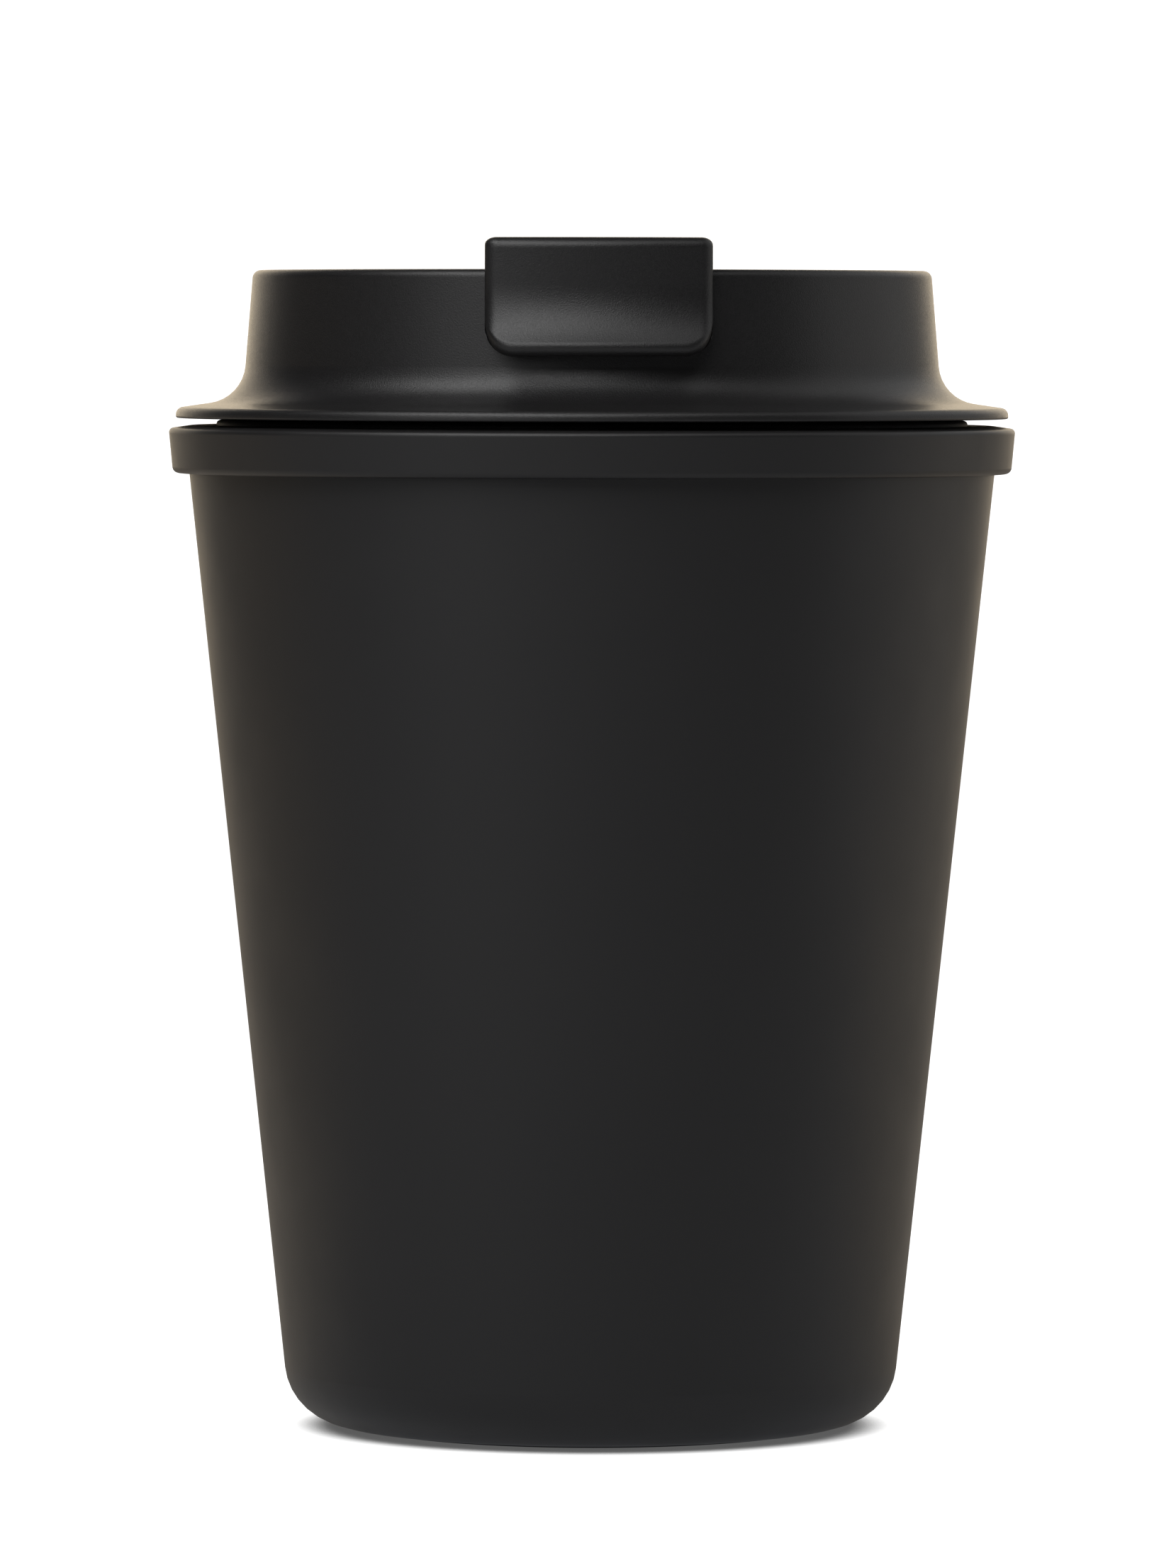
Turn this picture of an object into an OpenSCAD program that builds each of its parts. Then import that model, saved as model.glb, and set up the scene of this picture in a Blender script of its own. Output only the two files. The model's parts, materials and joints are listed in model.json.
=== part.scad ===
// Insulated travel mug: double-wall cup, push-fit lid with a silicone seal,
// and a flip lever that covers the drinking slot.
// Frame: origin on the table under the cup's axis, +Z up, lever tab towards -Y.

/* [Cup] */
// Height of the cup's rim above the table
cup_h = 106.9; // [98:0.1:118]
// Outer radius of the collar at its top edge
collar_r = 45.15; // [43:0.05:50]
// Height of the collar
collar_h = 5.1; // [4.8:0.1:6]
// How far the collar stands out from the body below it
collar_step = 2.21; // [1.9:0.01:2.4]
// Side draft of the body, in degrees
draft = 6.1; // [4:0.1:7]
// Radius of the body's rounded bottom edge
foot_round = 6.6; // [4:0.2:9]
// Wall of the outer shell
shell_t = 1.6; // [1.4:0.1:1.7]
// Sheet thickness of the steel liner
liner_t = 0.5; // [0.4:0.05:0.6]
// Width of the insulated space between shell and liner
insulation_gap = 2; // [1.6:0.1:4]
// Height of the pad below the shell's bottom
pad_proud = 0.3; // [0.2:0.1:0.8]

/* [Lid] */
// Height of the lid's rim above the cup's rim
lid_h = 16.5; // [14:0.1:22]
// Outer radius of the lid wall just under its rim
lid_top_r = 36.2; // [34:0.05:36.4]
// Outer radius of the lid wall just above the brim
lid_foot_r = 37.25; // [36.5:0.05:38]
// Radius of the brim's tip
brim_r = 44.4; // [42.5:0.05:44.6]
// Open space between the brim's root and the cup's rim
pry_gap = 1; // [0.9:0.1:1.2]
// Depth of the lid's recessed deck below its rim
deck_depth = 3.6; // [2.8:0.1:4]
// Depth that the lid's plug goes into the cup
plug_depth = 9.2; // [8.6:0.1:9.4]
// Length of the drinking slot
slot_l = 16; // [12:0.5:20]
// Width of the drinking slot
slot_w = 6; // [5:0.5:7]

/* [Lever] */
// Width of the lever's tab
lever_w = 23.6; // [22:0.1:28]
// Width of the lever's strap, which runs from the tab to the hinge
strap_w = 22.4; // [21:0.1:24]
// Thickness of the lever's strap
lever_t = 3; // [2.6:0.1:3.6]
// Height of the tab that hooks over the rim
tab_h = 12.35; // [9:0.05:13]
// Radius at which the tab's front face starts
tab_r = 37.8; // [37.7:0.1:39]
// Diameter of the hinge pin
pin_d = 2; // [1.6:0.1:2.4]

/* [Hidden] */

$fn = 180;
corner_steps = 8;       // chords in each rounded corner of an outline
slope = tan(draft);     // change of body radius per millimetre of height
eps = 0.01;             // keeps cutters clear of the faces that they cut

// Cup
body_z0 = pad_proud;                    // underside of the outer shell
collar_z0 = cup_h - collar_h;
body_top_r = collar_r - collar_step;
collar_draft = 0.45;                    // the collar is this much narrower at its foot
collar_fall = 0.33;                     // its top slopes down this far towards its outer edge
mouth_r = collar_r - 5;                 // bore that the lid's seal runs in
mouth_plate_t = 1.2;                    // collar above the liner's lip
gasket_t = 0.5;
lip_z = cup_h - mouth_plate_t;          // top face of the liner's turned-out lip
shell_top_z = lip_z - liner_t - gasket_t;
shell_floor_t = 2.4;
shell_floor_z = body_z0 + shell_floor_t;
liner_floor_z = shell_floor_z + 4.4;    // outside of the liner's floor
ledge_z = cup_h - plug_depth - 0.5;     // step that the lid's plug stands over
ledge_drop = 1;
liner_round = 7;                        // bottom corner of the liner, outside
foam_play = 0.1;
pad_r = 25;
pad_recess = 0.8;

// Lid
brim_z = cup_h + pry_gap;               // underside of the brim at its root
lid_z1 = cup_h + lid_h;                 // top of the lid's rim
lid_wall_t = 2;
deck_z = lid_z1 - deck_depth;
deck_t = 1.8;
plug_z = cup_h - plug_depth;            // lowest face of the lid
plug_floor_t = 1.6;
groove_r = mouth_r - 2;                 // floor of the groove that holds the seal
plug_r = mouth_r - 0.8;                 // lands above and below the groove
groove_z0 = plug_z + 1.4;
groove_z1 = brim_z - 0.4;
seal_play = 0.05;
seal_fit = 0.1;                         // radial clearance of the seal's lips in the mouth
seal_band_r = mouth_r - 1;
bead_r = 0.5;
slot_y = -28;
vent_y = -15;
vent_r = 1.2;
tube_wall = 1.2;

// Lever
lever_z1 = lid_z1 + 0.3 + lever_t;      // top of the strap and tab
lever_z0 = lever_z1 - lever_t;
barrel_r = lever_t - 0.1;
pin_y = 2;
pin_z = lever_z1 - barrel_r;
pin_l = strap_w - 1.6;
pin_play = 0.05;
post_w = 11.8;                          // lid's hinge post, between the lever's arms
arm_gap = 12.4;
arm_reach = barrel_r + 0.5;             // how far the gap between the arms runs past the pin
tab_z0 = lever_z1 - tab_h;
tab_flare_r = 10.5;                     // radius of the hollow curve in the tab's face
tab_flare_h = 7.65;                     // height at which that curve starts, above the tab's lower edge
tab_lean = 35;                          // how far the face leans out below the curve, in degrees

function body_r(z) = body_top_r - (collar_z0 - z) * slope;
function shell_in_r(z) = body_r(z) - shell_t;
function liner_out_r(z) = shell_in_r(z) - insulation_gap;

// Outline helpers: a corner is [x, y, radius], and its radius may be left out.
function unit(v) = v / norm(v);
function turn(a) = a > 180 ? a - 360 : a < -180 ? a + 360 : a;
function xy(p) = [p[0], p[1]];
function radius_of(p) = len(p) > 2 ? p[2] : 0;
function round_corner(a, b, c, r) =
    let (
        u = unit(a - b),
        v = unit(c - b),
        half = acos(u * v) / 2,
        centre = b + unit(u + v) * r / sin(half),
        p = b + u * r / tan(half) - centre,
        q = b + v * r / tan(half) - centre,
        start = atan2(p[1], p[0]),
        sweep = turn(atan2(q[1], q[0]) - start)
    )
    [for (i = [0:corner_steps])
        let (angle = start + sweep * i / corner_steps)
        centre + r * [cos(angle), sin(angle)]];
function rounded(points) =
    let (n = len(points))
    [for (i = [0:n - 1])
        let (a = points[(i + n - 1) % n], b = points[i], c = points[(i + 1) % n])
        each (radius_of(b) > 0 ? round_corner(xy(a), xy(b), xy(c), radius_of(b)) : [xy(b)])];

// Solid of revolution about Z from corners [radius, height, corner radius]
module turned(points) {
    rotate_extrude() polygon(rounded(points));
}

// Outline in Y and Z, given thickness along X and centred on x = 0
module across_x(thickness) {
    rotate([90, 0, 90]) linear_extrude(thickness, center = true) children();
}

// Upright slab with round ends, centred on (0, y)
module obround(length, width, y, z0, z1) {
    translate([0, y, z0]) linear_extrude(z1 - z0) {
        square([length - width, width], center = true);
        for (side = [-1, 1]) translate([side * (length - width) / 2, 0]) circle(d = width);
    }
}

module disc(r, z0, z1, y = 0) {
    translate([0, y, z0]) cylinder(r = r, h = z1 - z0);
}

// ---- Cup ----

module outer_shell() {
    color("#2b2a2b") difference() {
        turned([
            [0, body_z0],
            [body_r(body_z0), body_z0, foot_round],
            [body_top_r, collar_z0],
            [body_top_r, shell_top_z],
            [body_top_r - shell_t, shell_top_z],
            [body_top_r - shell_t, collar_z0],
            [shell_in_r(shell_floor_z), shell_floor_z, foot_round - shell_t],
            [0, shell_floor_z]
        ]);
        disc(pad_r, body_z0 - 1, body_z0 + pad_recess);
    }
}

module collar_ring() {
    color("#2b2a2b") turned([
        [collar_r - collar_draft, collar_z0, 0.7],
        [collar_r, cup_h - collar_fall, 0.5],
        [collar_r - 2.4, cup_h, 1.5],
        [mouth_r, cup_h, 0.45],
        [mouth_r, lip_z],
        [body_top_r, lip_z],
        [body_top_r, collar_z0]
    ]);
}

module steel_liner() {
    step_r = liner_out_r(ledge_z - ledge_drop);
    floor_r = liner_out_r(liner_floor_z);
    color("#b9b9b6") turned([
        [0, liner_floor_z],
        [floor_r, liner_floor_z, liner_round],
        [step_r, ledge_z - ledge_drop - liner_t, 0.4],
        [mouth_r + liner_t, ledge_z - liner_t, 0.6],
        [mouth_r + liner_t, lip_z - liner_t, 0.3],
        [body_top_r - 0.5, lip_z - liner_t],
        [body_top_r - 0.5, lip_z],
        [mouth_r, lip_z, 0.7],
        [mouth_r, ledge_z, 0.3],
        [step_r - liner_t, ledge_z - ledge_drop, 0.6],
        [floor_r - liner_t, liner_floor_z + liner_t, liner_round - liner_t],
        [0, liner_floor_z + liner_t]
    ]);
}

module liner_gasket() {
    color("#c9c9c4") difference() {
        disc(body_top_r - 0.1, shell_top_z, shell_top_z + gasket_t);
        disc(body_top_r - shell_t, shell_top_z - 1, lip_z);
    }
}

module insulation_sleeve() {
    z0 = liner_floor_z + 3;
    z1 = ledge_z - ledge_drop - 1.5;
    color("#efe9da") turned([
        [liner_out_r(z0) + foam_play, z0],
        [shell_in_r(z0) - foam_play, z0],
        [shell_in_r(z1) - foam_play, z1],
        [liner_out_r(z1) + foam_play, z1]
    ]);
}

module insulation_disc() {
    color("#efe9da") disc(pad_r, shell_floor_z + foam_play, liner_floor_z - foam_play);
}

module base_pad() {
    color("#1d1d1e") turned([
        [0, 0],
        [pad_r - foam_play, 0, 0.25],
        [pad_r - foam_play, body_z0 + pad_recess],
        [0, body_z0 + pad_recess]
    ]);
}

// ---- Lid ----

module lid_seal() {
    lip_r = mouth_r - seal_fit;
    z0 = groove_z0 + seal_play;
    z1 = groove_z1 - seal_play;
    bead_z = cup_h + 0.1;
    color("#1d1d1e") rotate_extrude() difference() {
        union() {
            translate([groove_r + seal_play, z0])
                square([seal_band_r - groove_r - seal_play, z1 - z0]);
            for (z = [z0 + 1.4, z0 + 4])
                polygon([
                    [seal_band_r - eps, z - 0.8],
                    [lip_r, z + 0.2],
                    [lip_r, z + 0.5],
                    [seal_band_r - eps, z + 0.5]
                ]);
            translate([lip_r - bead_r, bead_z]) circle(r = bead_r);
        }
        translate([groove_r - 1, z1]) square([4, 4]);
    }
}

module lid_shell() {
    color("#262526") difference() {
        union() {
            turned([
                [0, deck_z],
                [lid_top_r - lid_wall_t - 0.3, deck_z, 1.6],
                [lid_top_r - lid_wall_t, lid_z1, 0.7],
                [lid_top_r - 0.05, lid_z1, 0.9],
                [lid_foot_r, brim_z + 1.85, 4.4],
                [brim_r - 0.05, brim_z + 0.83, 0.8],
                [brim_r, brim_z - 0.25, 0.22],
                [plug_r, brim_z],
                [lid_foot_r - lid_wall_t, brim_z],
                [lid_foot_r - lid_wall_t - 0.6, deck_z - deck_t],
                [0, deck_z - deck_t]
            ]);
            hinge_post();
        }
        obround(slot_l, slot_w, slot_y, deck_z - deck_t - 1, deck_z + 1);
        disc(vent_r, deck_z - deck_t - 1, deck_z + 1, vent_y);
        pin_hole(pin_d / 2 + pin_play, post_w + 2);
    }
}

module hinge_post() {
    across_x(post_w) {
        translate([pin_y, pin_z]) circle(r = barrel_r);
        translate([pin_y - barrel_r, deck_z - deck_t / 2])
            square([2 * barrel_r, pin_z - deck_z + deck_t / 2]);
    }
}

module pin_hole(r, length) {
    translate([0, pin_y, pin_z]) rotate([0, 90, 0]) cylinder(r = r, h = length, center = true);
}

module lid_liner() {
    spigot_r = lid_foot_r - lid_wall_t - 0.5;
    web_z = brim_z - 1.5;
    wall_r = groove_r - 1.8;
    color("#232223") difference() {
        union() {
            turned([
                [0, plug_z],
                [plug_r, plug_z, 0.5],
                [plug_r, groove_z0],
                [groove_r, groove_z0],
                [groove_r, groove_z1],
                [plug_r, groove_z1],
                [plug_r, brim_z],
                [spigot_r, brim_z],
                [spigot_r, brim_z + 3],
                [spigot_r - 1.4, brim_z + 3],
                [spigot_r - 1.4, web_z],
                [wall_r, web_z],
                [wall_r, plug_z + plug_floor_t],
                [0, plug_z + plug_floor_t]
            ]);
            obround(slot_l + 2 * tube_wall, slot_w + 2 * tube_wall, slot_y, plug_z + 0.5, deck_z - deck_t);
            disc(vent_r + tube_wall, plug_z + 0.5, deck_z - deck_t, vent_y);
        }
        obround(slot_l, slot_w, slot_y, plug_z - 1, deck_z);
        disc(vent_r, plug_z - 1, deck_z, vent_y);
    }
}

// ---- Lever ----

module lever() {
    color("#262526") difference() {
        union() {
            intersection() {
                across_x(strap_w) {
                    translate([pin_y, pin_z]) circle(r = barrel_r);
                    translate([-tab_r, lever_z0]) square([tab_r + pin_y, lever_t]);
                }
                disc(tab_r - 1, lever_z0 - barrel_r, lever_z1);
            }
            tab();
            obround(slot_l - 4, slot_w - 2.4, slot_y, deck_z + 0.8, lever_z0 + 1);
            disc(vent_r, deck_z + 0.8, lever_z0 + 1, vent_y);
        }
        translate([-arm_gap / 2, pin_y - arm_reach, lever_z0 - 5]) cube([arm_gap, arm_reach + 5, lever_t + 10]);
        pin_hole(pin_d / 2, pin_l);
    }
}

// The tab is a ring about the lid's axis, cut to the outline seen from the front.
// Its face is upright above and leans out towards the lower edge, so that a
// finger can lift it.
module tab() {
    curve_z = tab_z0 + tab_flare_h;
    face_steps = 8;
    face = [for (step = [0:face_steps])
        let (angle = tab_lean * step / face_steps)
        [tab_r + tab_flare_r * (1 - cos(angle)), curve_z - tab_flare_r * sin(angle)]];
    face_foot = face[face_steps];
    lip_x = face_foot[0] + (face_foot[1] - tab_z0) * tan(tab_lean);
    intersection() {
        rotate_extrude() polygon(rounded(concat(
            [[lid_top_r - 2, lever_z1], [tab_r, lever_z1, 1.1]],
            face,
            [
                [lip_x, tab_z0, 0.8],
                [lip_x - 2.3, tab_z0, 0.6],
                [lid_top_r + 0.85, tab_z0 + 3.6],
                [lid_top_r + 0.4, lever_z0, 0.6],
                [lid_top_r - 2, lever_z0]
            ]
        )));
        rotate([90, 0, 0]) linear_extrude(2 * tab_r) polygon(rounded([
            [-lever_w / 2, tab_z0, 3],
            [lever_w / 2, tab_z0, 3],
            [lever_w / 2, lever_z1, 1],
            [-lever_w / 2, lever_z1, 1]
        ]));
    }
}

module hinge_pin() {
    color("#b9b9b6") pin_hole(pin_d / 2, pin_l);
}

module spout_plug() {
    color("#1d1d1e") difference() {
        union() {
            obround(slot_l + 1, slot_w + 1, slot_y, deck_z + 0.15, deck_z + 2);
            obround(slot_l - 0.8, slot_w - 0.8, slot_y, deck_z - 1.6, deck_z + 1);
        }
        obround(slot_l - 4, slot_w - 2.4, slot_y, deck_z + 0.8, deck_z + 3);
    }
}

module vent_plug() {
    color("#1d1d1e") difference() {
        union() {
            disc(vent_r + 1.2, deck_z + 0.15, deck_z + 2, vent_y);
            disc(vent_r / 2, deck_z - 0.8, deck_z + 1, vent_y);
        }
        disc(vent_r, deck_z + 0.8, deck_z + 3, vent_y);
    }
}

outer_shell();
collar_ring();
steel_liner();
liner_gasket();
insulation_sleeve();
insulation_disc();
base_pad();
lid_seal();
lid_shell();
lid_liner();
lever();
hinge_pin();
spout_plug();
vent_plug();
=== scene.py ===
"""Looks of the insulated travel mug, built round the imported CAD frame.

Lengths are in millimetres until make_object() turns them into metres.
Outlines are lists of corners (distance from the axis, height, corner radius).
"""
import json
import math

import bmesh
import bpy
from mathutils import Euler, Matrix, Vector

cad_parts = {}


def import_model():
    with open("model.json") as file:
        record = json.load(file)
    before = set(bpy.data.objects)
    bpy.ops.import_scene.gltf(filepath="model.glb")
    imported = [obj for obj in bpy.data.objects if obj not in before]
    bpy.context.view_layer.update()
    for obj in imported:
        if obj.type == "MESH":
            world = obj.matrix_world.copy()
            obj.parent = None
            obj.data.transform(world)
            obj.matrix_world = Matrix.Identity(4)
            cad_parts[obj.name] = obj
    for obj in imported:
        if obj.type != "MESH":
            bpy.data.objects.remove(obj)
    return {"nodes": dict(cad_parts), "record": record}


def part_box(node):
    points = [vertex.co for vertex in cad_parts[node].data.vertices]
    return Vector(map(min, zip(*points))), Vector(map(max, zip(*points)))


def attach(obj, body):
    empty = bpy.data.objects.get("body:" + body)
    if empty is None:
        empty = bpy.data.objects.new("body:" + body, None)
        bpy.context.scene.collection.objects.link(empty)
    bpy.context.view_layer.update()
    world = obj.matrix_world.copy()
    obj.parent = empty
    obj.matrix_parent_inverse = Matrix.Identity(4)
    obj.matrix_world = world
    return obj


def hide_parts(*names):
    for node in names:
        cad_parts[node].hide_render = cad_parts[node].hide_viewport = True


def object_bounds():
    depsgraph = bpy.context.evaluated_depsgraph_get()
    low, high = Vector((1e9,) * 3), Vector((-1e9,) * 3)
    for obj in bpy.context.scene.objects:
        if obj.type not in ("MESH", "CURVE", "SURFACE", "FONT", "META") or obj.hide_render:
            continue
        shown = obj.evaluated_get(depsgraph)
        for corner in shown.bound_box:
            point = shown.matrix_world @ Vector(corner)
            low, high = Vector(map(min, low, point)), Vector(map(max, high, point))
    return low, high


MM = 0.001
SEGMENTS = 240          # chords round the mug
CORNER_STEPS = 8        # chords in each rounded corner of an outline
SUPPORT = 0.05          # short flat strip beside each rounded corner, which keeps shading flat
BEVEL_STEPS = 3         # chords across an edge that soften() rounds
CREASE = 35             # degrees; sharper edges are shaded as creases by shade()

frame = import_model()
cad_lo, cad_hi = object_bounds()


# ---- Sizes that the outlines share, in millimetres ----

def top_of(node):
    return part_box(node)[1].z / MM


def foot_of(node):
    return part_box(node)[0].z / MM


CUP_H = top_of("collar_ring")           # height of the cup without its lid
COLLAR_Z = foot_of("collar_ring")
SHELL_Z0 = foot_of("outer_shell")
SHELL_Z1 = top_of("outer_shell")
LINER_Z0 = foot_of("steel_liner")
LIP_Z = top_of("steel_liner")           # where the liner's lip lies under the collar
SLOPE = math.tan(math.radians(6.1))     # taper of the body's side
COLLAR_R = 45.15
COLLAR_FALL = 0.33      # fall of the collar's top towards its outer edge
BODY_TOP_R = COLLAR_R - 2.21
MOUTH_R = COLLAR_R - 5
SHELL_T = 1.6
LINER_T = 0.5
INSULATION_GAP = 2.0
FOOT_ROUND = 6.6
LINER_ROUND = 7.0
PAD_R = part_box("base_pad")[1].x / MM
LEDGE_Z = CUP_H - 9.7   # where the liner steps in below the seal

BRIM_Z = CUP_H + 1.0
LID_Z1 = CUP_H + 16.5
DECK_Z = LID_Z1 - 3.6   # top of the lid's recessed deck
DECK_T = 1.8
LID_TOP_R = 36.2
LID_FOOT_R = 37.25
LID_WALL_T = 2.0
BRIM_R = 44.4
PLUG_Z = foot_of("lid_liner")
PLUG_R = MOUTH_R - 0.8
GROOVE_R = MOUTH_R - 2
GROOVE_Z0 = PLUG_Z + 1.4
GROOVE_Z1 = BRIM_Z - 0.4

SLOT_L = 16.0
SLOT_W = 6.0
SLOT_CORE = (SLOT_L - SLOT_W) / 2       # half of the slot's straight length
SLOT_Y = -28.0
VENT_Y = -15.0
VENT_R = 1.2
BOSS_R = (SLOT_W - 2.4) / 2             # boss under the lever, which holds the slot's stopper
BOSS_CORE = (SLOT_L - 4) / 2 - BOSS_R
BOSS_Z = DECK_Z + 0.8                   # foot of that boss and of the vent stopper's stub
STOPPER_Z0 = DECK_Z + 0.15              # foot of both stoppers' flanges
STOPPER_Z1 = DECK_Z + 2                 # and their top

LEVER_LO, LEVER_HI = (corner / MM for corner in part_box("lever"))
LEVER_W = LEVER_HI.x - LEVER_LO.x
LEVER_T = 3.0
STRAP_W = 22.4
LEVER_Z1 = LEVER_HI.z
LEVER_Z0 = LEVER_Z1 - LEVER_T
PIN_LO, PIN_HI = (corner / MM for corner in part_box("hinge_pin"))
PIN_CENTRE = (PIN_LO + PIN_HI) / 2
PIN_L = PIN_HI.x - PIN_LO.x
PIN_R = (PIN_HI.z - PIN_LO.z) / 2
BARREL_R = LEVER_T - 0.1
POST_W = 11.8           # width of the lid's hinge post
ARM_GAP = 12.4          # and of the gap in the lever that it stands in

TAB_Z0 = LEVER_LO.z
TAB_R = 37.8            # distance of the tab's upright face from the axis
TAB_CORNER = 3.0        # rounding of the tab's lower corners, seen from the front
FLARE_R = 10.5          # radius of the hollow curve in the tab's face
FLARE_Z = TAB_Z0 + 7.65                 # height at which that curve starts
FLARE_STEPS = 12
LIP_ROUND = 0.95        # rounding of the tab's lower edge
LIP_H = 1.85 * LIP_ROUND                # height of the straight part of the face below the curve
KNEE_R = LID_TOP_R + 0.85               # knee in the tab's inner side
KNEE_Z = TAB_Z0 + 3.6
INNER_SLOPE = 0.42      # how fast the inner side runs out below the knee
EDGE = 1.2              # width of the lever's rounded side edges
EDGE_DEPTH = 0.8        # how deep they go from its outside
INNER_DEPTH = 0.2       # and from the side of the lid
BEND_R0, BEND_R1 = 28, 35               # where the lever starts to follow the lid's curve, and does
WIDEN_R0, WIDEN_R1 = 35.2, 36.4         # where the strap widens into the tab


def body_r(z):
    """Outer radius of the tapered body at height z."""
    return BODY_TOP_R - (COLLAR_Z - z) * SLOPE


def liner_r(z):
    """Outer radius of the steel liner at height z."""
    return body_r(z) - SHELL_T - INSULATION_GAP


# ---- Mesh helpers ----

def round_corner(before, here, after, radius):
    """Points of an arc that rounds a corner, with a support point beyond each end."""
    to_before = (before - here).normalized()
    to_after = (after - here).normalized()
    half = to_before.angle(to_after) / 2
    reach = radius / math.tan(half)
    centre = here + (to_before + to_after).normalized() * radius / math.sin(half)
    first = here + to_before * reach - centre
    last = here + to_after * reach - centre
    start = math.atan2(first.y, first.x)
    sweep = math.remainder(math.atan2(last.y, last.x) - start, math.tau)
    points = []
    if (before - here).length > reach + 2 * SUPPORT:
        points.append(here + to_before * (reach + SUPPORT))
    for i in range(CORNER_STEPS + 1):
        angle = start + sweep * i / CORNER_STEPS
        points.append(centre + radius * Vector((math.cos(angle), math.sin(angle))))
    if (after - here).length > reach + 2 * SUPPORT:
        points.append(here + to_after * (reach + SUPPORT))
    return points


def rounded(corners):
    """The closed outline through the corners (x, y, radius).

    A corner with no radius stays sharp.
    """
    spots = [Vector(corner[:2]) for corner in corners]
    points = []
    for i, corner in enumerate(corners):
        if len(corner) > 2:
            after = spots[(i + 1) % len(spots)]
            points += round_corner(spots[i - 1], spots[i], after, corner[2])
        else:
            points.append(spots[i])
    return points


def make_object(name, bm):
    """An object from a bmesh in millimetres."""
    bmesh.ops.recalc_face_normals(bm, faces=bm.faces)
    bmesh.ops.scale(bm, vec=(MM, MM, MM), verts=bm.verts)
    mesh = bpy.data.meshes.new(name)
    bm.to_mesh(mesh)
    bm.free()
    obj = bpy.data.objects.new(name, mesh)
    bpy.context.scene.collection.objects.link(obj)
    return obj


def bridge(bm, rings, closed=False):
    """Quads between rings of equal length, and flat ends unless the rings close on themselves."""
    count = len(rings[0])
    pairs = list(zip(rings, rings[1:]))
    if closed:
        pairs.append((rings[-1], rings[0]))
    for one, two in pairs:
        for k in range(count):
            bm.faces.new((one[k], one[(k + 1) % count], two[(k + 1) % count], two[k]))
    if not closed:
        bm.faces.new(rings[0])
        bm.faces.new(rings[-1])


def lathe(name, corners, core=0.0, y=0.0, segments=SEGMENTS):
    """Turns an outline about Z. A core stretches it to an obround, that much longer to each side.

    An outline that starts and ends on the axis gets flat ends there.
    """
    outline = rounded(corners)
    solid = outline[0].x < 1e-6
    if solid:
        outline = outline[1:-1]
    bm = bmesh.new()
    rings = []
    for r, z in outline:
        ring = []
        for k in range(segments):
            angle = math.tau * (k + 0.5) / segments
            side = math.copysign(core, math.cos(angle))
            ring.append(bm.verts.new((r * math.cos(angle) + side, r * math.sin(angle) + y, z)))
        rings.append(ring)
    bridge(bm, rings, closed=not solid)
    return make_object(name, bm)


def slot_column(name, radius, z0, z1, core=SLOT_CORE):
    """A plain obround column in line with the drinking slot."""
    corners = [(0, z0), (radius, z0), (radius, z1), (0, z1)]
    return lathe(name, corners, core=core, y=SLOT_Y, segments=64)


def vent_column(name, radius, z0, z1):
    """A plain round column in line with the vent."""
    corners = [(0, z0), (radius, z0), (radius, z1), (0, z1)]
    return lathe(name, corners, y=VENT_Y, segments=48)


def across_x(name, points, width):
    """A slab of an outline in Y and Z, centred on x = 0."""
    bm = bmesh.new()
    rings = [[bm.verts.new((x, y, z)) for y, z in points] for x in (-width / 2, width / 2)]
    bridge(bm, rings)
    return make_object(name, bm)


def upright(name, corners, z0, z1):
    """A slab of an outline in X and Y between two heights."""
    bm = bmesh.new()
    rings = [[bm.verts.new((p.x, p.y, z)) for p in rounded(corners)] for z in (z0, z1)]
    bridge(bm, rings)
    return make_object(name, bm)


def circle_yz(centre, radius, steps=64, start=0.0, sweep=math.tau):
    """Points of an arc in Y and Z; a full turn leaves its last point out."""
    last = steps if sweep < math.tau else steps - 1
    return [
        (
            centre.y + radius * math.cos(start + sweep * i / steps),
            centre.z + radius * math.sin(start + sweep * i / steps),
        )
        for i in range(last + 1)
    ]


def apply_modifiers(obj):
    graph = bpy.context.evaluated_depsgraph_get()
    mesh = bpy.data.meshes.new_from_object(obj.evaluated_get(graph))
    old = obj.data
    obj.modifiers.clear()
    obj.data = mesh
    bpy.data.meshes.remove(old)
    mesh.name = obj.name


def combine(obj, tools, operation):
    """Adds or cuts the tool objects, which are used up."""
    for tool in tools:
        modifier = obj.modifiers.new(operation, "BOOLEAN")
        modifier.operation = operation
        modifier.solver = "EXACT"
        modifier.object = tool
        apply_modifiers(obj)
        bpy.data.objects.remove(tool)


def soften(obj, width, angle=50):
    """Shades an object smooth, and rounds the edges sharper than an angle."""
    modifier = obj.modifiers.new("soften", "BEVEL")
    modifier.width = width * MM
    modifier.segments = BEVEL_STEPS
    modifier.limit_method = "ANGLE"
    modifier.angle_limit = math.radians(angle)
    modifier.harden_normals = True
    modifier.use_clamp_overlap = True
    for face in obj.data.polygons:
        face.use_smooth = True
    apply_modifiers(obj)


def shade(obj):
    """Shades an object smooth, except across its creases."""
    obj.data.shade_smooth()
    obj.data.set_sharp_from_angle(angle=math.radians(CREASE))


# ---- Materials ----

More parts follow.
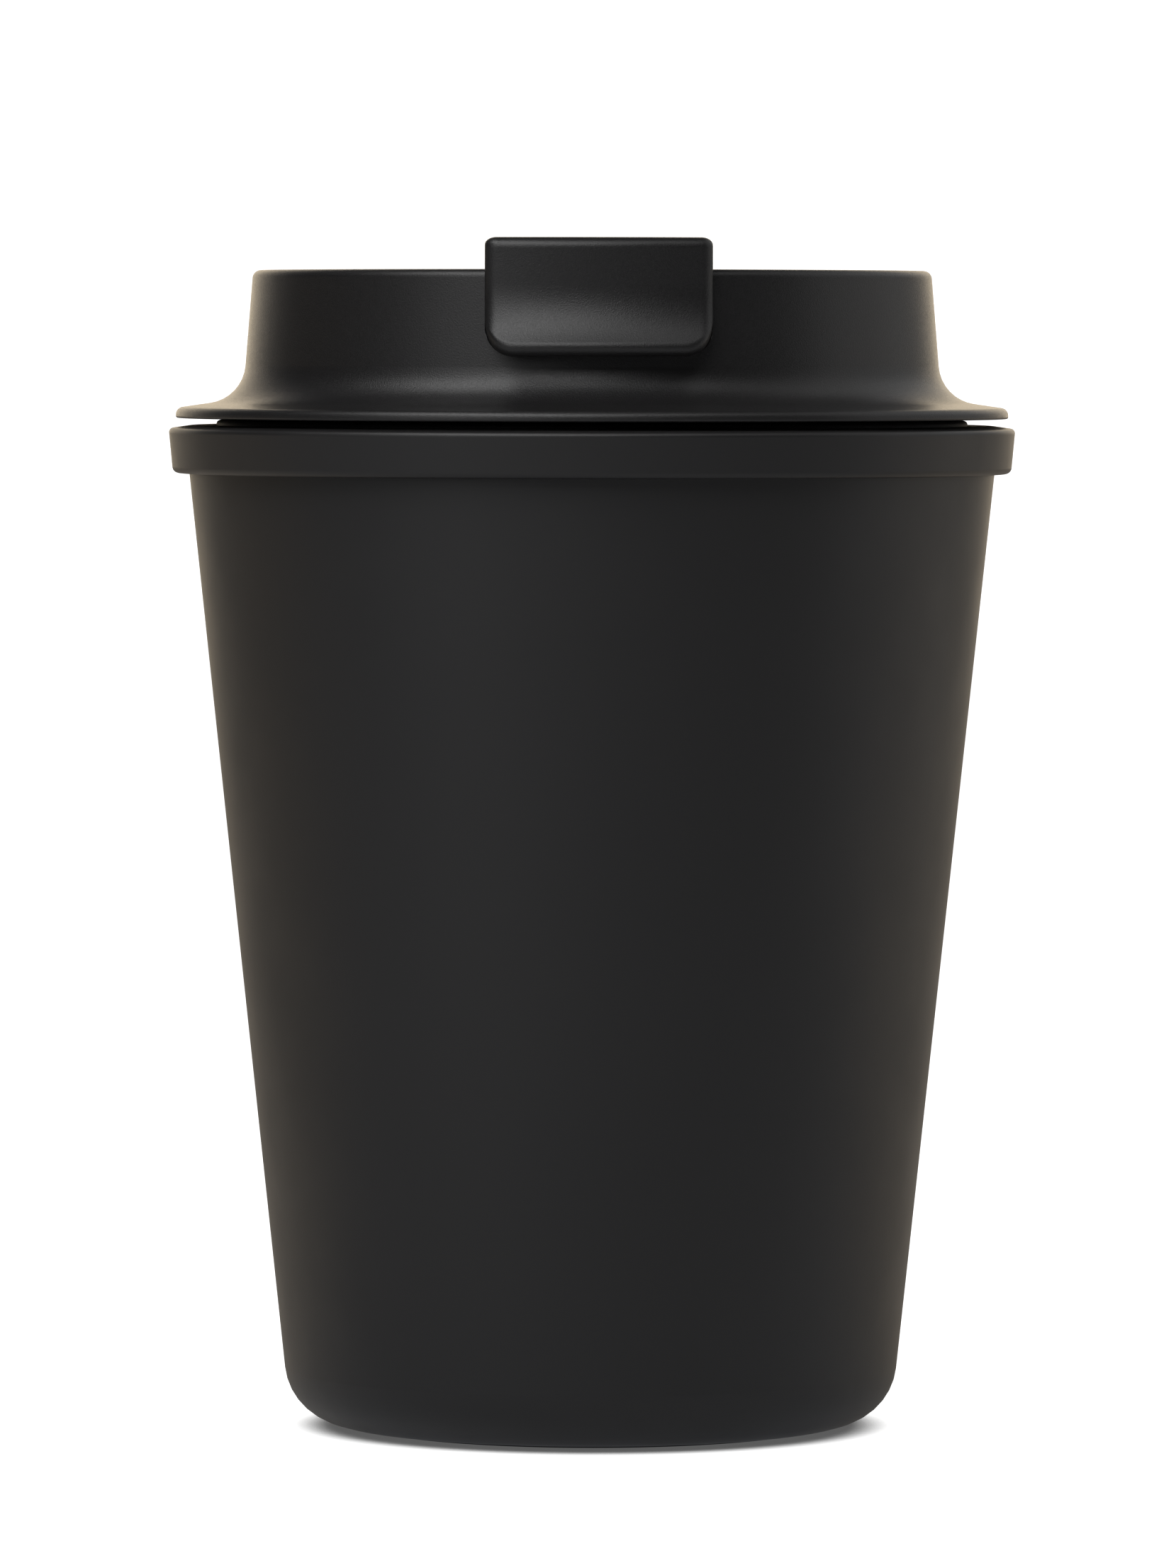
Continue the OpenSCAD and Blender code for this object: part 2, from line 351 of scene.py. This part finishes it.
class Shader:
    """A Principled material with short helpers for its nodes."""

    def __init__(self, name, colour, roughness, **sockets):
        self.material = bpy.data.materials.new(name)
        self.material.use_nodes = True
        self.tree = self.material.node_tree
        self.surface = self.tree.nodes["Principled BSDF"]
        self.surface.inputs["Base Color"].default_value = (*colour, 1)
        self.surface.inputs["Roughness"].default_value = roughness
        for socket, value in sockets.items():
            self.surface.inputs[socket.replace("_", " ")].default_value = value
        self.place = self.tree.nodes.new("ShaderNodeTexCoord").outputs["Object"]

    def link(self, source, target):
        self.tree.links.new(source, target)

    def noise(self, scale, detail=2.0, place=None):
        """Noise with features of about 1 / scale metres."""
        node = self.tree.nodes.new("ShaderNodeTexNoise")
        node.inputs["Scale"].default_value = scale
        node.inputs["Detail"].default_value = detail
        self.link(place or self.place, node.inputs["Vector"])
        return node.outputs["Fac"]

    def span(self, value, low, high, start=0.3, stop=0.7):
        """The value's stretch from start to stop, spread from low to high."""
        node = self.tree.nodes.new("ShaderNodeMapRange")
        node.inputs["From Min"].default_value = start
        node.inputs["From Max"].default_value = stop
        node.inputs["To Min"].default_value = low
        node.inputs["To Max"].default_value = high
        self.link(value, node.inputs["Value"])
        return node.outputs["Result"]

    def between(self, value, one, other):
        """A colour between two colours."""
        node = self.tree.nodes.new("ShaderNodeMix")
        node.data_type = "RGBA"
        node.inputs["A"].default_value = (*one, 1)
        node.inputs["B"].default_value = (*other, 1)
        self.link(value, node.inputs["Factor"])
        return node.outputs["Result"]

    def either(self, factor, one, other):
        """The first shader where the factor is 0, and the other where it is 1."""
        node = self.tree.nodes.new("ShaderNodeMixShader")
        self.link(factor, node.inputs["Fac"])
        self.link(one, node.inputs[1])
        self.link(other, node.inputs[2])
        return node.outputs["Shader"]

    def tint(self, value, dark, light):
        """Sets the base colour between two colours."""
        self.link(self.between(value, dark, light), self.surface.inputs["Base Color"])

    def bump(self, height, depth):
        """Raises the surface by up to a depth in metres."""
        node = self.tree.nodes.new("ShaderNodeBump")
        node.inputs["Distance"].default_value = depth
        self.link(height, node.inputs["Height"])
        self.link(node.outputs["Normal"], self.surface.inputs["Normal"])


def shell_plastic():
    """Smooth satin black of the cup's outside."""
    s = Shader("shell_plastic", (0.012, 0.0115, 0.012), 0.5)
    s.tint(s.noise(40), (0.0112, 0.0108, 0.0114), (0.0128, 0.0122, 0.0124))
    s.link(s.span(s.noise(90, 3), 0.43, 0.49), s.surface.inputs["Roughness"])
    s.bump(s.noise(2600, 1), 0.000003)
    return s.material


def lid_plastic():
    """Black of the lid and lever, with the fine grain of an etched mould."""
    s = Shader("lid_plastic", (0.012, 0.0115, 0.012), 0.4)
    s.tint(s.noise(60), (0.0112, 0.0108, 0.0114), (0.0128, 0.0122, 0.0124))
    s.link(s.span(s.noise(5000, 1), 0.36, 0.44), s.surface.inputs["Roughness"])
    s.bump(s.noise(6500, 3), 0.000024)
    return s.material


def silicone(name, colour):
    """Dull rubber with a faint dusty bloom."""
    s = Shader(name, colour, 0.62, Specular_IOR_Level=0.4)
    pale = tuple(1.35 * c + 0.002 for c in colour)
    s.tint(s.noise(120, 3), colour, pale)
    s.bump(s.noise(1800, 2), 0.000008)
    return s.material


def brushed_steel(name):
    """Steel with fine lines that run round the cup, as its polishing leaves them."""
    s = Shader(name, (0.56, 0.55, 0.53), 0.3, Metallic=1.0)
    split = s.tree.nodes.new("ShaderNodeSeparateXYZ")
    s.link(s.place, split.inputs["Vector"])
    flat = s.tree.nodes.new("ShaderNodeCombineXYZ")
    s.link(split.outputs["X"], flat.inputs["X"])
    s.link(split.outputs["Y"], flat.inputs["Y"])
    reach = s.tree.nodes.new("ShaderNodeVectorMath")
    reach.operation = "LENGTH"
    s.link(flat.outputs["Vector"], reach.inputs[0])
    rings = s.tree.nodes.new("ShaderNodeCombineXYZ")
    s.link(reach.outputs["Value"], rings.inputs["X"])
    s.link(split.outputs["Z"], rings.inputs["Y"])
    lines = s.noise(5200, 3, rings.outputs["Vector"])
    s.link(s.span(lines, 0.22, 0.38), s.surface.inputs["Roughness"])
    s.tint(s.noise(900, 2, rings.outputs["Vector"]), (0.50, 0.49, 0.475), (0.62, 0.61, 0.59))
    s.bump(lines, 0.000006)
    return s.material


def foam():
    """Off-white closed-cell foam."""
    s = Shader("foam", (0.82, 0.79, 0.70), 0.9)
    cells = s.tree.nodes.new("ShaderNodeTexVoronoi")
    cells.inputs["Scale"].default_value = 900
    s.link(s.place, cells.inputs["Vector"])
    s.tint(s.noise(300), (0.76, 0.73, 0.64), (0.88, 0.86, 0.78))
    s.bump(cells.outputs["Distance"], 0.0001)
    return s.material


MATERIALS = {
    "shell_plastic": shell_plastic(),
    "lid_plastic": lid_plastic(),
    "black_silicone": silicone("black_silicone", (0.011, 0.011, 0.012)),
    "gasket_silicone": silicone("gasket_silicone", (0.42, 0.42, 0.40)),
    "liner_steel": brushed_steel("liner_steel"),
    "pin_steel": brushed_steel("pin_steel"),
    "foam": foam(),
}


def slot_of(node):
    """The material slot that the record gives a CAD node."""
    return next(s["material_slot"] for s in frame["record"]["subparts"] if s["node"] == node)


def dress(obj, slot):
    obj.data.materials.clear()
    obj.data.materials.append(MATERIALS[slot])


def stand_for(obj, node, body):
    """Puts a finished piece in a CAD node's place."""
    slot = slot_of(node)
    dress(obj, slot)
    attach(obj, body)
    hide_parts(node)


# ---- Cup ----

def outer_shell():
    floor_z = SHELL_Z0 + 2.4
    pad_top = SHELL_Z0 + 0.8
    shell = lathe("mug_outer_shell", [
        (0, pad_top),
        (PAD_R + 0.1, pad_top),
        (PAD_R + 0.1, SHELL_Z0, 0.2),
        (body_r(SHELL_Z0), SHELL_Z0, FOOT_ROUND),
        (BODY_TOP_R, COLLAR_Z),
        (BODY_TOP_R, SHELL_Z1),
        (BODY_TOP_R - SHELL_T, SHELL_Z1),
        (BODY_TOP_R - SHELL_T, COLLAR_Z),
        (body_r(floor_z) - SHELL_T, floor_z, FOOT_ROUND - SHELL_T),
        (0, floor_z),
    ])
    shade(shell)
    stand_for(shell, "outer_shell", "cup")


def collar_ring():
    collar = lathe("mug_collar", [
        (COLLAR_R - 0.45, COLLAR_Z, 0.7),
        (COLLAR_R, CUP_H - COLLAR_FALL, 0.5),
        (COLLAR_R - 2.4, CUP_H, 1.5),
        (MOUTH_R, CUP_H, 0.45),
        (MOUTH_R, LIP_Z),
        (BODY_TOP_R, LIP_Z),
        (BODY_TOP_R, COLLAR_Z, 0.15),
    ])
    shade(collar)
    stand_for(collar, "collar_ring", "cup")


def steel_liner():
    step_z = LEDGE_Z - 1
    step_r = liner_r(step_z)
    floor_r = liner_r(LINER_Z0)
    floor_top = LINER_Z0 + LINER_T
    liner = lathe("mug_liner", [
        (0, LINER_Z0),
        (floor_r, LINER_Z0, LINER_ROUND),
        (step_r, step_z - LINER_T, 0.4),
        (MOUTH_R + LINER_T, LEDGE_Z - LINER_T, 0.6),
        (MOUTH_R + LINER_T, LIP_Z - LINER_T, 0.3),
        (BODY_TOP_R - 0.5, LIP_Z - LINER_T),
        (BODY_TOP_R - 0.5, LIP_Z),
        (MOUTH_R, LIP_Z, 0.7),
        (MOUTH_R, LEDGE_Z, 0.3),
        (step_r - LINER_T, step_z, 0.6),
        (floor_r - LINER_T, floor_top, LINER_ROUND - LINER_T),
        (0, floor_top),
    ])
    shade(liner)
    stand_for(liner, "steel_liner", "cup")


def base_pad():
    pad = lathe("mug_base_pad", [
        (0, 0.25),
        (PAD_R - 4.5, 0.25, 0.15),
        (PAD_R - 4.1, 0, 0.15),
        (PAD_R, 0, 0.25),
        (PAD_R, top_of("base_pad")),
        (0, top_of("base_pad")),
    ])
    shade(pad)
    stand_for(pad, "base_pad", "cup")


# ---- Lid ----

def lid_seal():
    inner_r = GROOVE_R + 0.05
    band_r = MOUTH_R - 1
    lip_r = MOUTH_R - 0.1
    z0, z1 = foot_of("lid_seal"), top_of("lid_seal")
    bead_foot = CUP_H + 0.1 - 0.5
    fins = []
    for z in (z0 + 1.4, z0 + 4):
        fins += [
            (band_r, z - 0.8, 0.25),
            (lip_r, z + 0.2, 0.1),
            (lip_r, z + 0.5, 0.1),
            (band_r, z + 0.5, 0.1),
        ]
    seal = lathe("lid_gasket", [
        (inner_r, z0, 0.1),
        (band_r, z0, 0.2),
        *fins,
        (band_r, bead_foot, 0.1),
        (lip_r, bead_foot, 0.42),
        (lip_r, z1, 0.42),
        (inner_r, z1, 0.1),
    ])
    shade(seal)
    stand_for(seal, "lid_seal", "seal")


def openings():
    """Cutters for the drinking slot and the vent."""
    below, above = PLUG_Z - 1, DECK_Z + 1
    return [
        slot_column("slot", SLOT_W / 2, below, above),
        vent_column("vent", VENT_R, below, above),
    ]


def pin_bore(radius, length):
    """Cutter for the hinge pin's hole."""
    return across_x("bore", circle_yz(PIN_CENTRE, radius), length)


def lid_shell():
    inner_r = LID_FOOT_R - LID_WALL_T
    lid = lathe("lid_cover", [
        (0, DECK_Z),
        (LID_TOP_R - LID_WALL_T - 0.3, DECK_Z, 1.6),
        (LID_TOP_R - LID_WALL_T, LID_Z1, 0.7),
        (LID_TOP_R - 0.05, LID_Z1, 0.9),
        (LID_FOOT_R, BRIM_Z + 1.85, 4.4),
        (BRIM_R - 0.05, BRIM_Z + 0.83, 0.8),
        (BRIM_R, BRIM_Z - 0.25, 0.22),
        (PLUG_R, BRIM_Z),
        (inner_r, BRIM_Z),
        (inner_r - 0.6, DECK_Z - DECK_T),
        (0, DECK_Z - DECK_T),
    ])
    post_foot = DECK_Z - DECK_T / 2
    post = across_x("post", [
        (PIN_CENTRE.y + BARREL_R, post_foot),
        *circle_yz(PIN_CENTRE, BARREL_R, 32, 0, math.pi),
        (PIN_CENTRE.y - BARREL_R, post_foot),
    ], POST_W)
    combine(lid, [post], "UNION")
    combine(lid, [*openings(), pin_bore(PIN_R + 0.05, POST_W + 2)], "DIFFERENCE")
    soften(lid, 0.3)
    stand_for(lid, "lid_shell", "lid")


def lid_liner():
    spigot_r = LID_FOOT_R - LID_WALL_T - 0.5
    spigot_z = BRIM_Z + 3
    wall_r = GROOVE_R - 1.8
    web_z = BRIM_Z - 1.5
    floor_z = PLUG_Z + 1.6
    liner = lathe("lid_plug", [
        (0, PLUG_Z),
        (PLUG_R, PLUG_Z, 0.5),
        (PLUG_R, GROOVE_Z0, 0.1),
        (GROOVE_R, GROOVE_Z0),
        (GROOVE_R, GROOVE_Z1),
        (PLUG_R, GROOVE_Z1),
        (PLUG_R, BRIM_Z),
        (spigot_r, BRIM_Z),
        (spigot_r, spigot_z),
        (spigot_r - 1.4, spigot_z),
        (spigot_r - 1.4, web_z),
        (wall_r, web_z),
        (wall_r, floor_z),
        (0, floor_z),
    ])
    tube_foot, tube_top = PLUG_Z + 0.5, top_of("lid_liner")
    tube_wall = 1.2
    slot_tube = slot_column("slot_tube", SLOT_W / 2 + tube_wall, tube_foot, tube_top)
    vent_pipe = vent_column("vent_pipe", VENT_R + tube_wall, tube_foot, tube_top)
    combine(liner, [slot_tube, vent_pipe], "UNION")
    combine(liner, openings(), "DIFFERENCE")
    soften(liner, 0.25)
    stand_for(liner, "lid_liner", "lid")


# ---- Lever ----

def edge_drop(x, radius):
    """How far an edge rounding of that radius has fallen at x."""
    past = max(abs(x) - (LEVER_W / 2 - radius), 0)
    return radius - math.sqrt(max(radius ** 2 - past ** 2, 0))


def lever_outline(x):
    """Outer and inner side of the lever at x, as (distance in front of the lid's axis, height)."""
    foot = TAB_Z0 + edge_drop(x, TAB_CORNER)
    stop = foot + LIP_H
    lean = math.asin((FLARE_Z - stop) / FLARE_R)
    face = []
    for i in range(FLARE_STEPS + 1):
        angle = lean * i / FLARE_STEPS
        out, down = FLARE_R * (1 - math.cos(angle)), FLARE_R * math.sin(angle)
        face.append((TAB_R + out, FLARE_Z - down))
    lip_r = face[-1][0] + (stop - foot) * math.tan(lean)
    outer = rounded([
        (0, LEVER_Z1),
        (TAB_R, LEVER_Z1, 1.1),
        *face,
        (lip_r, foot, LIP_ROUND),
        (0, foot),
    ])[1:-1]
    barrel = circle_yz(PIN_CENTRE, BARREL_R, 40, math.radians(178), math.radians(272))
    inner = rounded([
        (lip_r, foot),
        (KNEE_R + INNER_SLOPE * (KNEE_Z - foot), foot, 0.6),
        (KNEE_R, KNEE_Z),
        (LID_TOP_R + 0.4, LEVER_Z0, 0.6),
        *((-y, z) for y, z in barrel),
    ])[1:]
    return outer, inner


def inset_outline(outer, inner, outer_depth, inner_depth):
    """The closed outline moved inwards, by a depth of its own for each part."""
    points = outer + inner
    depths = [outer_depth] * len(outer) + [inner_depth] * len(inner)
    area = sum(a.x * b.y - b.x * a.y for a, b in zip(points, points[1:] + points[:1]))
    turn = math.copysign(1, area)
    moved = []
    for i, (point, depth) in enumerate(zip(points, depths)):
        ahead = (points[(i + 1) % len(points)] - point).normalized()
        along = (ahead + (point - points[i - 1]).normalized()).normalized()
        moved.append(point + Vector((-along.y, along.x)) * turn * depth)
    return moved


def smoothstep(low, high, value):
    t = min(max((value - low) / (high - low), 0), 1)
    return t * t * (3 - 2 * t)


def lever_stations():
    """Places across the lever, closer together towards its sides."""
    flat = LEVER_W / 2 - TAB_CORNER
    inner = [flat * i / 12 for i in range(12)]
    outer = [flat + TAB_CORNER * math.sin(math.radians(5 * i)) for i in range(19)]
    right = inner + outer
    return [-x for x in reversed(right[1:])] + right


def lever_ring(bm, x):
    """The lever's outline at x, bent round the lid in front and narrowed to the strap behind."""
    outer, inner = lever_outline(x)
    share_down = edge_drop(x, EDGE) / EDGE
    narrow = STRAP_W / LEVER_W
    ring = []
    for r, z in inset_outline(outer, inner, share_down * EDGE_DEPTH, share_down * INNER_DEPTH):
        bend = smoothstep(BEND_R0, BEND_R1, r)
        r_bent = math.sqrt(max(r * r - x * x, 0)) if r > BEND_R0 else r
        share = narrow + (1 - narrow) * smoothstep(WIDEN_R0, WIDEN_R1, r)
        ring.append(bm.verts.new((x * share, -(r + (r_bent - r) * bend), z)))
    return ring


def lever():
    bm = bmesh.new()
    bridge(bm, [lever_ring(bm, x) for x in lever_stations()])
    arm = make_object("lever_arm", bm)
    top = LEVER_Z0 + 1
    boss = slot_column("boss", BOSS_R, BOSS_Z, top, BOSS_CORE)
    stub = vent_column("stub", VENT_R, BOSS_Z, top)
    combine(arm, [boss, stub], "UNION")
    half = ARM_GAP / 2
    front = PIN_CENTRE.y - BARREL_R - 0.5
    back = front + 12
    gap = upright(
        "gap",
        [(-half, front, 0.8), (half, front, 0.8), (half, back), (-half, back)],
        LEVER_Z0 - 5, LEVER_Z1 + 5,
    )
    combine(arm, [gap, pin_bore(PIN_R, PIN_L)], "DIFFERENCE")
    soften(arm, 0.3, angle=60)
    stand_for(arm, "lever", "flip")


def hinge_pin():
    pin = across_x("lever_pin", circle_yz(PIN_CENTRE, PIN_R, 48), PIN_L)
    soften(pin, 0.15, angle=60)
    stand_for(pin, "hinge_pin", "flip")


def spout_plug():
    flange_r, stopper_r = (SLOT_W + 1) / 2, (SLOT_W - 0.8) / 2
    foot = foot_of("spout_plug")
    plug = lathe("slot_stopper", [
        (0, foot),
        (stopper_r, foot, 0.5),
        (stopper_r, STOPPER_Z0, 0.15),
        (flange_r, STOPPER_Z0, 0.3),
        (flange_r, STOPPER_Z1, 0.3),
        (0, STOPPER_Z1),
    ], core=SLOT_CORE, y=SLOT_Y, segments=96)
    pocket = slot_column("pocket", BOSS_R, BOSS_Z, STOPPER_Z1 + 1, BOSS_CORE)
    combine(plug, [pocket], "DIFFERENCE")
    shade(plug)
    stand_for(plug, "spout_plug", "flip")


def vent_plug():
    flange_r, tip_r = VENT_R + 1.2, VENT_R / 2
    foot = foot_of("vent_plug")
    plug = lathe("vent_stopper", [
        (VENT_R, BOSS_Z),
        (VENT_R, STOPPER_Z1, 0.1),
        (flange_r, STOPPER_Z1, 0.25),
        (flange_r, STOPPER_Z0, 0.25),
        (tip_r, STOPPER_Z0, 0.1),
        (tip_r, foot, 0.2),
        (0, foot),
        (0, BOSS_Z),
    ], y=VENT_Y, segments=64)
    shade(plug)
    stand_for(plug, "vent_plug", "flip")


# ---- Studio ----

CAMERA_DISTANCE = 1.1305                # in metres, as the rest of the camera
CAMERA_HEIGHT = 0.1181
CAMERA_SIDE = -0.00037
CAMERA_PITCH = math.radians(2.5075)
CAMERA_YAW = math.radians(1.1)
CAMERA_ROLL = math.radians(0.088)
CAMERA_LENS = 243.1

FLOOR_R = 3000
FLOOR_DROP = 0.05       # keeps the floor clear of the base pad, so that the pad shows from below
FLOOR_BOUNCE = 0.35     # share of its light that the floor passes on to the mug
GLOW_FRONT = (0.165, 0.17, 0.18)        # light that the floor gives the mug from in front of it
GLOW_BEHIND = (0.31, 0.255, 0.19)       # and from behind it
GLOW_Y0, GLOW_Y1 = -0.02, 0.04          # where the one turns into the other, in metres
CONTACT_REACH = 0.012   # how far off the mug still shades the floor, in metres
OPEN_DARK, OPEN_WHITE = 0.15, 0.5       # share of open space above the darkest and the white floor
DARK, WHITE = 0.1, 1.05                 # and how bright the floor is there

SKY_SEEN = 1.2          # strength of the white behind the mug
LIGHT_DISTANCE = 0.9    # metres from the mug's middle
SOFT_BOXES = (
    # name, azimuth, elevation, width and height in metres, power in watts
    ("key_front", -14, 44, 0.45, 0.45, 2.05),
    ("key_middle", -42, 44, 0.45, 0.45, 0.7),
    ("key_left", -60, 56, 0.45, 0.45, 2.2),
    ("low_left", -40, 21, 0.45, 0.45, 0.8),
    ("front_right", 30, 60, 0.45, 0.45, 0.7),
    ("right_top", 104, 45, 0.7, 0.45, 0.56),
    ("right_back", 140, 30, 0.45, 0.45, 0.26),
    ("right_fill", 88, 12, 0.4, 0.7, 0.55),
    ("right_rim", 118, 12, 0.4, 0.7, 0.46),
)


def camera():
    data = bpy.data.cameras.new("camera")
    data.sensor_width = 36
    data.lens = CAMERA_LENS
    data.clip_start, data.clip_end = 0.05, 20
    cam = bpy.data.objects.new("camera", data)
    bpy.context.scene.collection.objects.link(cam)
    ahead = Vector((math.sin(CAMERA_YAW), math.cos(CAMERA_YAW), 0))
    right = Vector((math.cos(CAMERA_YAW), -math.sin(CAMERA_YAW), 0))
    up = Vector((0, 0, CAMERA_HEIGHT))
    cam.location = up - ahead * CAMERA_DISTANCE + right * CAMERA_SIDE
    level = Euler((math.pi / 2 - CAMERA_PITCH, 0, -CAMERA_YAW)).to_matrix()
    cam.rotation_euler = (level @ Matrix.Rotation(CAMERA_ROLL, 3, "Z")).to_euler()
    bpy.context.scene.camera = cam


def area_light(name, azimuth, elevation, width, height, power):
    """A soft box that faces the mug.

    Azimuth 0 is behind the camera, and positive is to its right.
    """
    a, e = math.radians(azimuth), math.radians(elevation)
    data = bpy.data.lights.new(name, "AREA")
    data.shape = "RECTANGLE"
    data.size, data.size_y = width, height
    data.energy = power
    light = bpy.data.objects.new(name, data)
    bpy.context.scene.collection.objects.link(light)
    target = (cad_lo + cad_hi) / 2
    towards = Vector((math.sin(a) * math.cos(e), -math.cos(a) * math.cos(e), math.sin(e)))
    light.location = target + towards * LIGHT_DISTANCE
    light.rotation_euler = towards.to_track_quat("Z", "Y").to_euler()


def floor_white():
    """White to the eye, shaded only where the mug nearly touches it.

    The mug itself sees a dimmer floor, as it would in a tent of soft light.
    From below, the floor is clear.
    """
    s = Shader("floor_white", (0.3, 0.3, 0.3), 0.9, Specular_IOR_Level=0.0)
    s.surface.inputs["Emission Color"].default_value = (1, 1, 1, 1)
    contact = s.tree.nodes.new("ShaderNodeAmbientOcclusion")
    contact.inputs["Distance"].default_value = CONTACT_REACH
    contact.samples = 16
    white = s.span(contact.outputs["AO"], DARK, WHITE, OPEN_DARK, OPEN_WHITE)
    s.link(white, s.surface.inputs["Emission Strength"])

    dim = s.tree.nodes.new("ShaderNodeBsdfDiffuse")
    dim.inputs["Color"].default_value = (FLOOR_BOUNCE, FLOOR_BOUNCE, FLOOR_BOUNCE, 1)
    place = s.tree.nodes.new("ShaderNodeSeparateXYZ")
    s.link(s.place, place.inputs["Vector"])
    behind = s.span(place.outputs["Y"], 0, 1, GLOW_Y0, GLOW_Y1)
    lit = s.tree.nodes.new("ShaderNodeEmission")
    s.link(s.between(behind, GLOW_FRONT, GLOW_BEHIND), lit.inputs["Color"])
    under = s.tree.nodes.new("ShaderNodeAddShader")
    s.link(dim.outputs["BSDF"], under.inputs[0])
    s.link(lit.outputs["Emission"], under.inputs[1])

    path = s.tree.nodes.new("ShaderNodeLightPath")
    side = s.tree.nodes.new("ShaderNodeNewGeometry")
    clear = s.tree.nodes.new("ShaderNodeBsdfTransparent")
    above = s.either(path.outputs["Is Camera Ray"], under.outputs["Shader"],
                     s.surface.outputs["BSDF"])
    floor_shader = s.either(side.outputs["Backfacing"], above, clear.outputs["BSDF"])
    s.link(floor_shader, s.tree.nodes["Material Output"].inputs["Surface"])
    return s.material


def floor():
    bm = bmesh.new()
    bmesh.ops.create_circle(bm, cap_ends=True, segments=96, radius=FLOOR_R)
    bmesh.ops.translate(bm, vec=(0, 0, -FLOOR_DROP), verts=bm.verts)
    plane = make_object("floor", bm)
    if plane.data.polygons[0].normal.z < 0:
        plane.data.flip_normals()
    plane.data.materials.append(floor_white())


def glow(tree, component, start, colour, strength):
    """Background light that grows as a component of the direction goes from start to 1."""
    fade = tree.nodes.new("ShaderNodeMapRange")
    fade.interpolation_type = "SMOOTHSTEP"
    fade.inputs["From Min"].default_value = start
    fade.inputs["To Max"].default_value = strength
    light = tree.nodes.new("ShaderNodeBackground")
    light.inputs["Color"].default_value = (*colour, 1)
    tree.links.new(component, fade.inputs["Value"])
    tree.links.new(fade.outputs["Result"], light.inputs["Strength"])
    return light.outputs["Background"]


def world():
    """White to the eye; to surfaces, a bright warm backdrop behind the mug."""
    scene_world = bpy.data.worlds.new("studio")
    bpy.context.scene.world = scene_world
    scene_world.use_nodes = True
    tree = scene_world.node_tree
    seen = tree.nodes["Background"]
    seen.inputs["Color"].default_value = (1, 1, 1, 1)
    seen.inputs["Strength"].default_value = SKY_SEEN
    direction = tree.nodes.new("ShaderNodeTexCoord")
    split = tree.nodes.new("ShaderNodeSeparateXYZ")
    tree.links.new(direction.outputs["Generated"], split.inputs["Vector"])
    wide = glow(tree, split.outputs["Y"], start=0.65, colour=(1, 0.98, 0.96), strength=0.85)
    narrow = glow(tree, split.outputs["Y"], start=0.82, colour=(1, 0.78, 0.47), strength=2.4)
    room = tree.nodes.new("ShaderNodeAddShader")
    tree.links.new(wide, room.inputs[0])
    tree.links.new(narrow, room.inputs[1])
    path = tree.nodes.new("ShaderNodeLightPath")
    mix = tree.nodes.new("ShaderNodeMixShader")
    tree.links.new(path.outputs["Is Camera Ray"], mix.inputs["Fac"])
    tree.links.new(room.outputs["Shader"], mix.inputs[1])
    tree.links.new(seen.outputs["Background"], mix.inputs[2])
    tree.links.new(mix.outputs["Shader"], tree.nodes["World Output"].inputs["Surface"])


camera()
floor()
world()
for soft_box in SOFT_BOXES:
    area_light(*soft_box)
bpy.context.scene.view_settings.view_transform = "Standard"

outer_shell()
collar_ring()
steel_liner()
base_pad()
lid_seal()
lid_shell()
lid_liner()
lever()
hinge_pin()
spout_plug()
vent_plug()
for kept in ("liner_gasket", "insulation_sleeve", "insulation_disc"):
    dress(frame["nodes"][kept], slot_of(kept))

bpy.context.view_layer.update()
